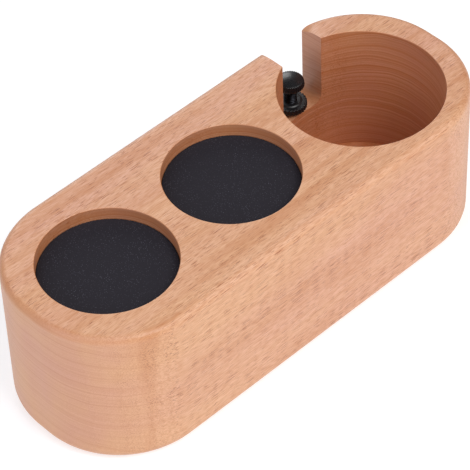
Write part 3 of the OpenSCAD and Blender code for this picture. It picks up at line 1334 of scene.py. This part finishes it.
    def ease_cutter(self, side: int, reach: float) -> bpy.types.Object:
        """Builds the cutter of the sanded rounding over one upper corner of the notch.

        Args:
            side: minus one for the left corner, plus one for the right.
            reach: how far the rounding reaches in from the corner.

        Returns:
            The cutter.
        """
        outward = Vector((-side, 1, 0)).normalized()
        along = Vector((0, 0, 1)).cross(outward)
        corner = Vector((self.support.x + side * self.notch_w / 2, self.high.y, self.top_z))
        past = reach + self.ease_over
        stops = [past * i / self.ease_steps for i in range(self.ease_steps + 1)]
        section = [(s, math.sqrt(self.ease_r**2 - s**2) - self.ease_r) for s in stops]
        section += [(past, self.ease_over), (0, self.ease_over)]
        ends = []
        for sign in (-self.ease_side, self.ease_side):
            start = corner + outward * -reach + along * (sign * reach)
            ends.append([start + outward * s + Vector((0, 0, z)) for s, z in section])
        return lofted(f"ease_cutter_{side}", ends)

    def support_cutter(self) -> bpy.types.Object:
        """Builds the cutter of the stepped hole for the insert and the stud.

        Returns:
            The cutter.
        """
        drilled = self.stud_r + self.hole_gap
        bush = (self.insert_high.x - self.insert_low.x) / 2
        travel = corners("support_cap")[0].z - corners("lock_nut")[1].z
        floor = self.stud_foot - travel - self.hole_spare
        step = self.insert_low.z - floor
        top = self.insert_high.z - floor + self.over
        centre = Vector((self.support.x, self.support.y, floor))
        profile = [(0, 0), (drilled, 0), (drilled, step), (bush, step), (bush, top), (0, top)]
        return turned("support_cutter", profile, centre, self.drill_steps)

    def soften(self, piece: bpy.types.Object) -> None:
        """Marks the sharp edges between the notch and the well for a small bevel.

        Args:
            piece: the cut block.
        """
        form = bmesh.new()
        form.from_mesh(piece.data)
        weights = form.edges.layers.float.new("bevel_weight_edge")
        for edge in form.edges:
            if len(edge.link_faces) != 2 or edge.calc_face_angle(0.0) < math.radians(self.soft_deg):
                continue
            away = [(v.co - self.well).to_2d() for v in edge.verts]
            on_well = all(abs(gap.length - self.well_d / 2) < self.near for gap in away)
            behind = all(gap.y > self.notch_w / 2 for gap in away)
            below_rim = all(v.co.z < self.top_z - self.lip - self.near for v in edge.verts)
            if on_well and behind and below_rim:
                edge[weights] = 1.0
        form.to_mesh(piece.data)
        form.free()

    def build(self, finish: bpy.types.Material) -> bpy.types.Object:
        """Cuts the block, eases its edges and dresses it.

        Args:
            finish: the wood's finish.

        Returns:
            The finished block.
        """
        piece = self.blank()
        cutters = [self.rimmed_cutter("well_cutter", self.well, self.well_d / 2)]
        cutters += [self.rimmed_cutter(pad + "_cutter", *self.rest(pad)) for pad in PADS]
        cutters += [self.notch_cutter(), self.support_cutter()]
        cutters += [self.ease_cutter(-1, self.left_ease), self.ease_cutter(1, self.right_ease)]
        for cutter in cutters:
            cut = piece.modifiers.new(cutter.name, "BOOLEAN")
            cut.operation, cut.solver, cut.object = "DIFFERENCE", "EXACT", cutter
        baked(piece)
        for cutter in cutters:
            bpy.data.objects.remove(cutter)
        self.soften(piece)
        bevel = piece.modifiers.new("soft_notch", "BEVEL")
        bevel.width, bevel.segments, bevel.limit_method = self.soft_w, self.soft_steps, "WEIGHT"
        baked(piece)
        smooth_by_angle(piece, self.crisp_deg)
        normals = piece.modifiers.new("flat_faces_first", "WEIGHTED_NORMAL")
        normals.keep_sharp = True
        baked(piece)
        piece.data.materials.clear()
        piece.data.materials.append(finish)
        return finished(piece, Body.STATION, ("block",))


# The pads and the sheet


@dataclass
class FoamPad:
    """A foam disc that lies in a rest.

    Attributes:
        node: the CAD node that it stands for.
        edge: softening of its punched edge.
        rings: radii of the rings of points on its top, as shares of its own.
        crisp_deg: angle from which an edge stays crisp.
        steps: stretches around it.
    """

    node: str
    edge: float = 0.35 * MM
    rings: tuple[float, ...] = (0.9, 0.7, 0.45, 0.2)
    crisp_deg: float = 35.0
    steps: int = 160

    def build(self, finish: bpy.types.Material) -> bpy.types.Object:
        """Builds the disc in its node's place.

        Args:
            finish: the foam's finish.

        Returns:
            The finished pad.
        """
        centre, radius, height = footing(self.node)
        outer = eased([(0, 0), (radius, 0), (radius, height), (0, height)], self.edge)
        inner = [(radius * share, height) for share in self.rings]
        piece = turned("foam_" + self.node, outer[:-1] + inner + [(0, height)], centre, self.steps)
        smooth_by_angle(piece, self.crisp_deg)
        piece.data.materials.append(finish)
        finished(piece, Body.STATION, (self.node,))
        return piece


@dataclass
class NonSlipSheet:
    """The thin rubber sheet under the block.

    Attributes:
        margin: distance from the block's outline to the sheet's edge.
        edge: softening of its cut edge.
        crisp_deg: angle from which an edge stays crisp.
    """

    margin: float = 9.0 * MM
    edge: float = 0.2 * MM
    crisp_deg: float = 30.0

    def build(self, block: BeechBlock, finish: bpy.types.Material) -> bpy.types.Object:
        """Builds the sheet in its node's place.

        Args:
            block: the block, whose outline the sheet follows.
            finish: the rubber's finish.

        Returns:
            The finished sheet.
        """
        low, high = corners("non_slip_sheet")
        levels = [(self.edge, low.z), (0, low.z + self.edge), (0, high.z)]
        sections = [[(x, y, z) for x, y in block.outline(self.margin + inset)] for inset, z in levels]
        piece = lofted("rubber_sheet", sections)
        smooth_by_angle(piece, self.crisp_deg)
        piece.data.materials.append(finish)
        return finished(piece, Body.STATION, ("non_slip_sheet",))


# The support


@dataclass
class HandleSupport:
    """The adjustable support: threaded stud, mushroom cap, lock nut and brass insert.

    Attributes:
        pitch: the thread's pitch.
        thread_depth: depth of the thread.
        stud_bevel: bevel at the stud's ends.
        stud_crisp_deg: angle from which an edge of the stud stays crisp.
        thread_gap: clearance between the stud and what it runs in.
        cap_side: height of the cap's ribbed side.
        cap_lean: how far that side leans in.
        cap_socket: depth of the stud's socket.
        cap_easing: rounding of its edges.
        cap_grooves: grooves around the cap.
        cap_groove_depth: depth of a groove.
        cap_narrow: how much narrower the grooves are than the ribs.
        cap_core: how far inside the side's foot the grooves start to fade in.
        cap_fade: width over which they fade in.
        dome_steps: stretches from the side up to the middle of the dome.
        steps_per_groove: stretches around the cap in each groove.
        grip_h: height of the nut's grip.
        grip_bevel: bevel of its edges.
        hub_d: diameter of the hub below the grip.
        hub_h: height of that hub.
        ring_h: height of the raised ring.
        ring_d: diameter of the raised ring.
        nut_easing: rounding of the nut's edges.
        scallops: scallops around the nut.
        scallop_depth: depth of a scallop.
        scallop_core: how far inside the grip's radius the scallops start to fade in.
        scallop_fade: width over which they fade in.
        steps_per_scallop: stretches around the nut in each scallop.
        grip_crisp_deg: angle from which an edge of the cap or the nut stays crisp.
    """

    pitch: float = 1.0 * MM
    thread_depth: float = 0.6 * MM
    stud_bevel: float = 0.7 * MM
    stud_crisp_deg: float = 50.0
    thread_gap: float = 0.05 * MM
    cap_side: float = 3.3 * MM
    cap_lean: float = 0.4 * MM
    cap_socket: float = 2.2 * MM
    cap_easing: float = 0.25 * MM
    cap_grooves: int = 36
    cap_groove_depth: float = 0.35 * MM
    cap_narrow: float = 1.4
    cap_core: float = 0.45 * MM
    cap_fade: float = 0.4 * MM
    dome_steps: int = 12
    steps_per_groove: int = 10
    grip_h: float = 3.2 * MM
    grip_bevel: float = 0.35 * MM
    hub_d: float = 9.0 * MM
    hub_h: float = 2.1 * MM
    ring_h: float = 0.6 * MM
    ring_d: float = 10.4 * MM
    nut_easing: float = 0.3 * MM
    scallops: int = 28
    scallop_depth: float = 0.5 * MM
    scallop_core: float = 1.4 * MM
    scallop_fade: float = 0.9 * MM
    steps_per_scallop: int = 12
    grip_crisp_deg: float = 45.0

    def build_stud(self, finish: bpy.types.Material) -> bpy.types.Object:
        """Builds the threaded stud.

        Args:
            finish: the steel's finish.

        Returns:
            The finished stud.
        """
        foot, radius, length = footing("support_stud")
        thread = RolledThread(radius, radius - self.thread_depth, self.pitch, length, self.stud_bevel)
        piece = thread.build("threaded_stud", foot, finish)
        smooth_by_angle(piece, self.stud_crisp_deg)
        return finished(piece, Body.SCREW, ("support_stud",))

    def bore(self) -> float:
        """Gives the radius of the bores that the stud runs in."""
        return footing("support_stud")[1] + self.thread_gap

    def build_cap(self, finish: bpy.types.Material) -> bpy.types.Object:
        """Builds the mushroom cap: a low dome over a ribbed side, hollow for the stud.

        Args:
            finish: the nylon's finish.

        Returns:
            The finished cap.
        """
        foot, radius, height = footing("support_cap")
        bore = self.bore()
        edge, rise = radius - self.cap_lean, height - self.cap_side
        dome_r = (edge**2 + rise**2) / (2 * rise)
        side = [
            (bore, 0),
            (edge, 0),
            (radius, self.cap_lean),
            (radius, self.cap_side / 2),
            (edge, self.cap_side),
        ]
        dome = []
        for i in range(1, self.dome_steps + 1):
            reach = edge * (1 - i / self.dome_steps)
            dome.append((reach, height - dome_r + math.sqrt(dome_r**2 - reach**2)))
        outside = eased([*side, dome[0]], self.cap_easing)
        profile = [(0, self.cap_socket), (bore, self.cap_socket), *outside, *dome[1:]]
        piece = turned("mushroom_cap", profile, foot, self.cap_grooves * self.steps_per_groove)
        core = edge - self.cap_core
        grooves = GripGrooves(self.cap_grooves, self.cap_groove_depth, self.cap_narrow, core, self.cap_fade)
        piece = grooves.apply(piece, foot, finish)
        smooth_by_angle(piece, self.grip_crisp_deg)
        return finished(piece, Body.SCREW, ("support_cap",))

    def build_nut(self, finish: bpy.types.Material) -> bpy.types.Object:
        """Builds the lock nut: hub, scalloped grip and raised ring.

        Args:
            finish: the nylon's finish.

        Returns:
            The finished nut.
        """
        foot, radius, height = footing("lock_nut")
        bore, bevel = self.bore(), self.grip_bevel
        grip_top = self.hub_h + self.grip_h
        section = [
            (bore, 0),
            (self.hub_d / 2, 0),
            (self.hub_d / 2, self.hub_h),
            (radius - bevel, self.hub_h),
            (radius, self.hub_h + bevel),
            (radius, grip_top - bevel),
            (radius - bevel, grip_top),
            (self.ring_d / 2, grip_top),
            (self.ring_d / 2 - self.ring_h, height),
            (bore, height),
        ]
        steps = self.scallops * self.steps_per_scallop
        piece = turned("scalloped_nut", eased(section, self.nut_easing), foot, steps)
        core = radius - self.scallop_core
        grooves = GripGrooves(self.scallops, self.scallop_depth, 1.0, core, self.scallop_fade)
        piece = grooves.apply(piece, foot, finish)
        smooth_by_angle(piece, self.grip_crisp_deg)
        return finished(piece, Body.NUT, ("lock_nut",))

    def dress_insert(self, finish: bpy.types.Material) -> bpy.types.Object:
        """Gives the insert's CAD solid its brass, since the hub hides its shape.

        Args:
            finish: the brass's finish.

        Returns:
            The insert.
        """
        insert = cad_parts["threaded_insert"]
        insert.data.materials.clear()
        insert.data.materials.append(finish)
        LOG.info("piece %s keeps its CAD solid", insert.name)
        return insert


# The studio


@dataclass(frozen=True)
class SoftBox:
    """A square area light that looks at the middle of the block.

    Attributes:
        name: the light's name.
        azimuth_deg: the side that it stands on, counted from the well's end.
        elevation_deg: how high it stands.
        watts: its power.
        tint_hex: its colour.
        side: its side length.
        distance: how far off it stands.
        aim_z: the height that it looks at.
    """

    name: str
    azimuth_deg: float
    elevation_deg: float
    watts: float
    tint_hex: str = "ffffff"
    side: float = 0.9
    distance: float = 1.9
    aim_z: float = 0.04

    def hang(self) -> bpy.types.Object:
        """Makes the light.

        Returns:
            The light, in the scene.
        """
        lamp = bpy.data.lights.new(self.name, "AREA")
        lamp.size, lamp.energy = self.side, self.watts
        lamp.color = linear(self.tint_hex)[:3]
        light = bpy.data.objects.new(self.name, lamp)
        azimuth, elevation = math.radians(self.azimuth_deg), math.radians(self.elevation_deg)
        level = math.cos(elevation)
        away = Vector((level * math.cos(azimuth), level * math.sin(azimuth), math.sin(elevation))) * self.distance
        light.location = away + Vector((0.0, 0.0, self.aim_z))
        light.rotation_euler = away.to_track_quat("Z", "Y").to_euler()
        bpy.context.scene.collection.objects.link(light)
        return light


@dataclass(frozen=True)
class Studio:
    """Camera, floor and soft light.

    Attributes:
        place: the camera's place, from a fit to the photo's outline and rims.
        aim: the point on the top face that the camera's axis meets.
        roll_deg: how far the camera leans.
        lens: its focal length in millimetres.
        sensor: width of its sensor in millimetres.
        sky: strength of the even surround.
        sky_hex: colour of that surround.
        floor_side: side length of the floor.
        floor_gap: how far the floor lies below the sheet, so that no two faces share a plane.
        boxes: the soft lights.
    """

    place: Triple = (-0.53143, -0.57808, 0.83571)
    aim: Triple = (-0.03012, -0.02710, 0.07450)
    roll_deg: float = 2.469
    lens: float = 200.0
    sensor: float = 36.0
    sky: float = 0.15
    sky_hex: str = "ffffff"
    floor_side: float = 12.0
    floor_gap: float = 0.05 * MM
    boxes: tuple[SoftBox, ...] = (
        SoftBox("front_key", 270.0, 55.0, 21.5),
        SoftBox("front_right", 300.0, 25.0, 6.8),
        SoftBox("left_low", 180.0, 25.0, 10.4, "e4ecff"),
        SoftBox("left_high", 180.0, 55.0, 7.4, "e4ecff"),
        SoftBox("back_right", 60.0, 25.0, 10.5),
    )

    def set_camera(self) -> bpy.types.Object:
        """Makes the camera and makes it the scene's own.

        Returns:
            The camera.
        """
        lens = bpy.data.cameras.new("camera")
        lens.lens, lens.sensor_width = self.lens, self.sensor
        camera = bpy.data.objects.new("camera", lens)
        line = Vector(self.aim) - Vector(self.place)
        look = line.to_track_quat("-Z", "Y")
        lean = Quaternion((0, 0, 1), math.radians(-self.roll_deg))
        camera.rotation_mode = "QUATERNION"
        camera.rotation_quaternion = look @ lean
        camera.location = self.place
        bpy.context.scene.collection.objects.link(camera)
        bpy.context.scene.camera = camera
        return camera

    def lay_floor(self) -> bpy.types.Object:
        """Lays the pale floor under the sheet.

        Returns:
            The floor.
        """
        half, level = self.floor_side / 2, CAD_BOX[0].z - self.floor_gap
        form = bmesh.new()
        form.faces.new(form.verts.new((x * half, y * half, level)) for x, y in ((-1, -1), (1, -1), (1, 1), (-1, 1)))
        mesh = bpy.data.meshes.new("floor")
        form.to_mesh(mesh)
        form.free()
        floor = new_object("floor", mesh)
        mesh.materials.append(PaleGround("opal_sheet").build())
        return floor

    def light(self) -> None:
        """Hangs the lights and sets the even white surround."""
        for box in self.boxes:
            box.hang()
        world = bpy.data.worlds.new("studio")
        world.use_nodes = True
        surround = world.node_tree.nodes["Background"]
        surround.inputs["Color"].default_value = linear(self.sky_hex)
        surround.inputs["Strength"].default_value = self.sky
        bpy.context.scene.world = world
        bpy.context.scene.view_settings.view_transform = "Standard"

    def build(self) -> None:
        """Sets up the whole studio."""
        self.set_camera()
        self.lay_floor()
        self.light()


def main() -> None:
    """Builds the studio and every piece."""
    logging.basicConfig(level=logging.INFO, format="%(message)s")
    Studio().build()
    foam = FoamRubber("foam_rubber").build()
    moulded = MouldedBlack("moulded_nylon").build()
    block = BeechBlock()
    block.build(OiledBeech("oiled_beech", turned_walls=block.holes_mm(), notch_mm=block.notch_place_mm()).build())
    for node in PADS:
        FoamPad(node).build(foam)
    NonSlipSheet().build(block, SheetRubber("sheet_rubber").build())
    support = HandleSupport()
    support.build_stud(BlackedSteel("blacked_steel").build())
    support.build_cap(moulded)
    support.build_nut(MouldedBlack("worn_nylon", roughness=0.4).build())
    support.dress_insert(TurnedBrass("turned_brass").build())


if __name__ == "__main__":
    main()
